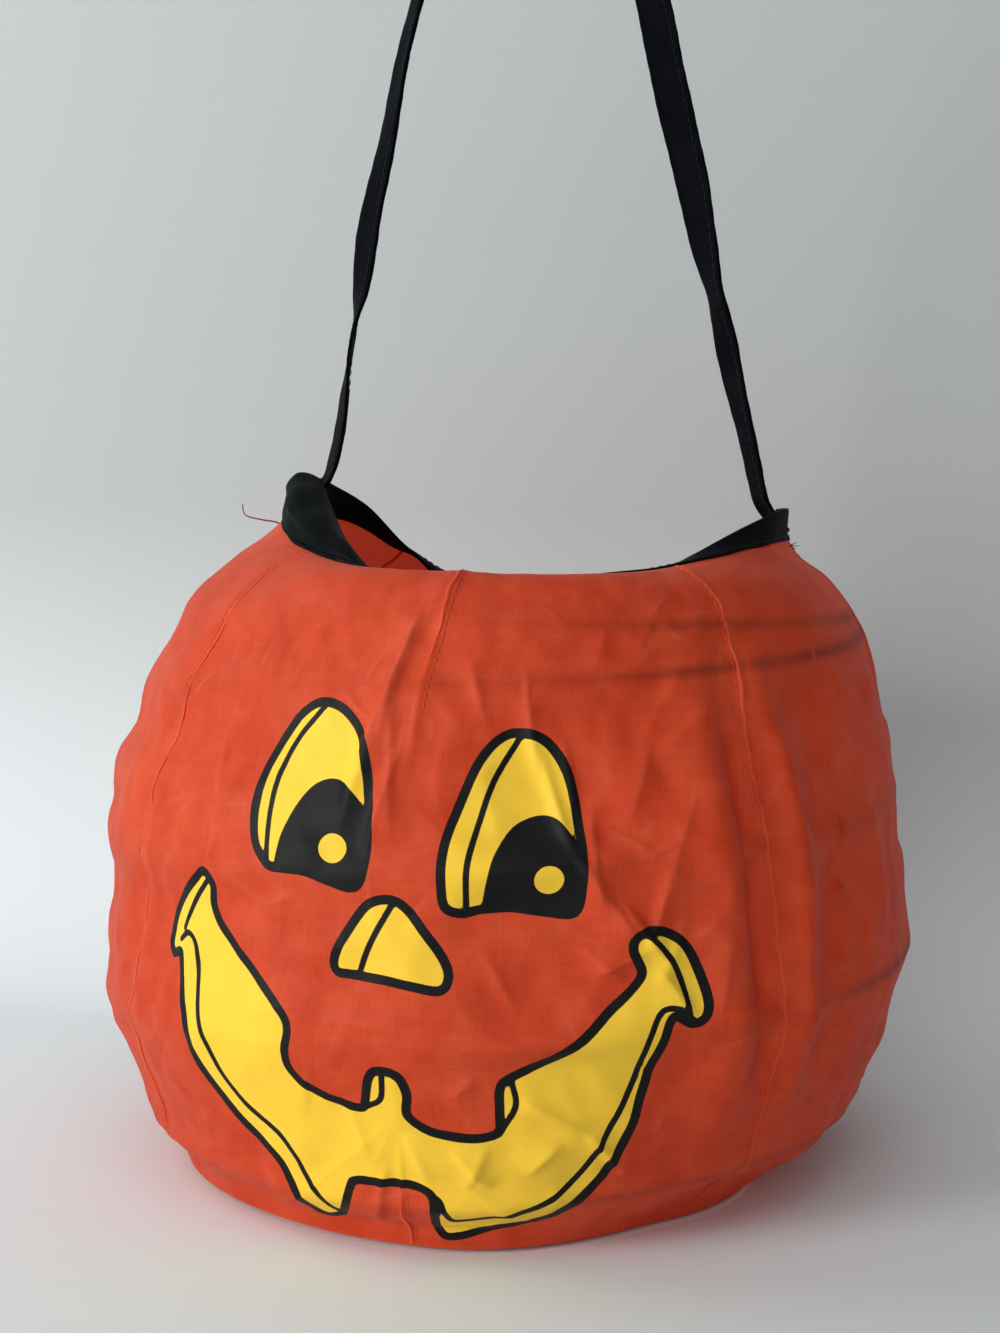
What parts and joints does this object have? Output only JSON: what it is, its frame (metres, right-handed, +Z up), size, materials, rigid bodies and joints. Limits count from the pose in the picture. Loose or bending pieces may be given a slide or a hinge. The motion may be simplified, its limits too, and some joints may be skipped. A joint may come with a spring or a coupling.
{
  "type": "collapsible pumpkin basket",
  "caption": "Round pop-up cloth basket in the shape of a pumpkin, held open by a spiral spring wire, with a bound mouth and a folded cloth carrying strap.",
  "frame": {"origin": "centre of the base, on the surface that the basket stands on", "axes": "+Z up, the printed front faces -Y, the strap is sewn on at +X and -X"},
  "size_m": [0.2496, 0.2495, 0.4005],
  "materials": {
    "orange_cloth": "thin woven polyester with a soft sheen, slightly see-through",
    "orange_seam": "the same cloth folded and stitched",
    "orange_thread": "sewing thread",
    "black_binding": "folded bias tape, matte",
    "black_strap": "folded tape with a faint sheen",
    "black_thread": "sewing thread",
    "spring_wire": "drawn spring wire",
    "wire_cap": "moulded"
  },
  "bodies": {
    "basket": {"front_panel": "orange_cloth", "right_panel": "orange_cloth", "back_panel": "orange_cloth", "left_panel": "orange_cloth", "seam_front_right": "orange_seam", "seam_front_left": "orange_seam", "seam_back_right": "orange_seam", "seam_back_left": "orange_seam", "dart_top_front": "orange_seam", "dart_top_right": "orange_seam", "dart_top_back": "orange_seam", "dart_top_left": "orange_seam", "dart_bottom_front": "orange_seam", "dart_bottom_right": "orange_seam", "dart_bottom_back": "orange_seam", "dart_bottom_left": "orange_seam", "base_panel": "orange_cloth", "base_seam": "orange_seam", "spiral_wire": "spring_wire", "wire_cap_top": "wire_cap", "wire_cap_bottom": "wire_cap", "wire_tack_top_1": "orange_thread", "wire_tack_top_2": "orange_thread", "wire_tack_top_3": "orange_thread", "wire_tack_top_4": "orange_thread", "wire_tack_bottom_1": "orange_thread", "wire_tack_bottom_2": "orange_thread", "wire_tack_bottom_3": "orange_thread", "wire_tack_bottom_4": "orange_thread"},
    "rim": {"mouth_binding": "black_binding", "strap_end_left": "black_strap", "strap_end_right": "black_strap", "bar_tack_left": "black_thread", "bar_tack_right": "black_thread"},
    "handle": {"handle_strap": "black_strap"}
  },
  "joints": [
    {"name": "collapse", "type": "slide", "parent": "basket", "child": "rim", "axis": [0, 0, -1], "range_m": [0, 0.16], "stiffness_N_per_m": 20, "springref_m": -0.02, "deforming": ["front_panel", "right_panel", "back_panel", "left_panel", "seam_front_right", "seam_front_left", "seam_back_right", "seam_back_left", "dart_top_front", "dart_top_right", "dart_top_back", "dart_top_left", "dart_bottom_front", "dart_bottom_right", "dart_bottom_back", "dart_bottom_left", "spiral_wire", "wire_cap_top", "wire_cap_bottom", "wire_tack_top_1", "wire_tack_top_2", "wire_tack_top_3", "wire_tack_top_4", "wire_tack_bottom_1", "wire_tack_bottom_2", "wire_tack_bottom_3", "wire_tack_bottom_4"]},
    {"name": "strap_swing", "type": "hinge", "parent": "rim", "child": "handle", "pos_m": [0, 0, 0.2126], "axis": [1, 0, 0], "range_deg": [-95, 95]}
  ]
}
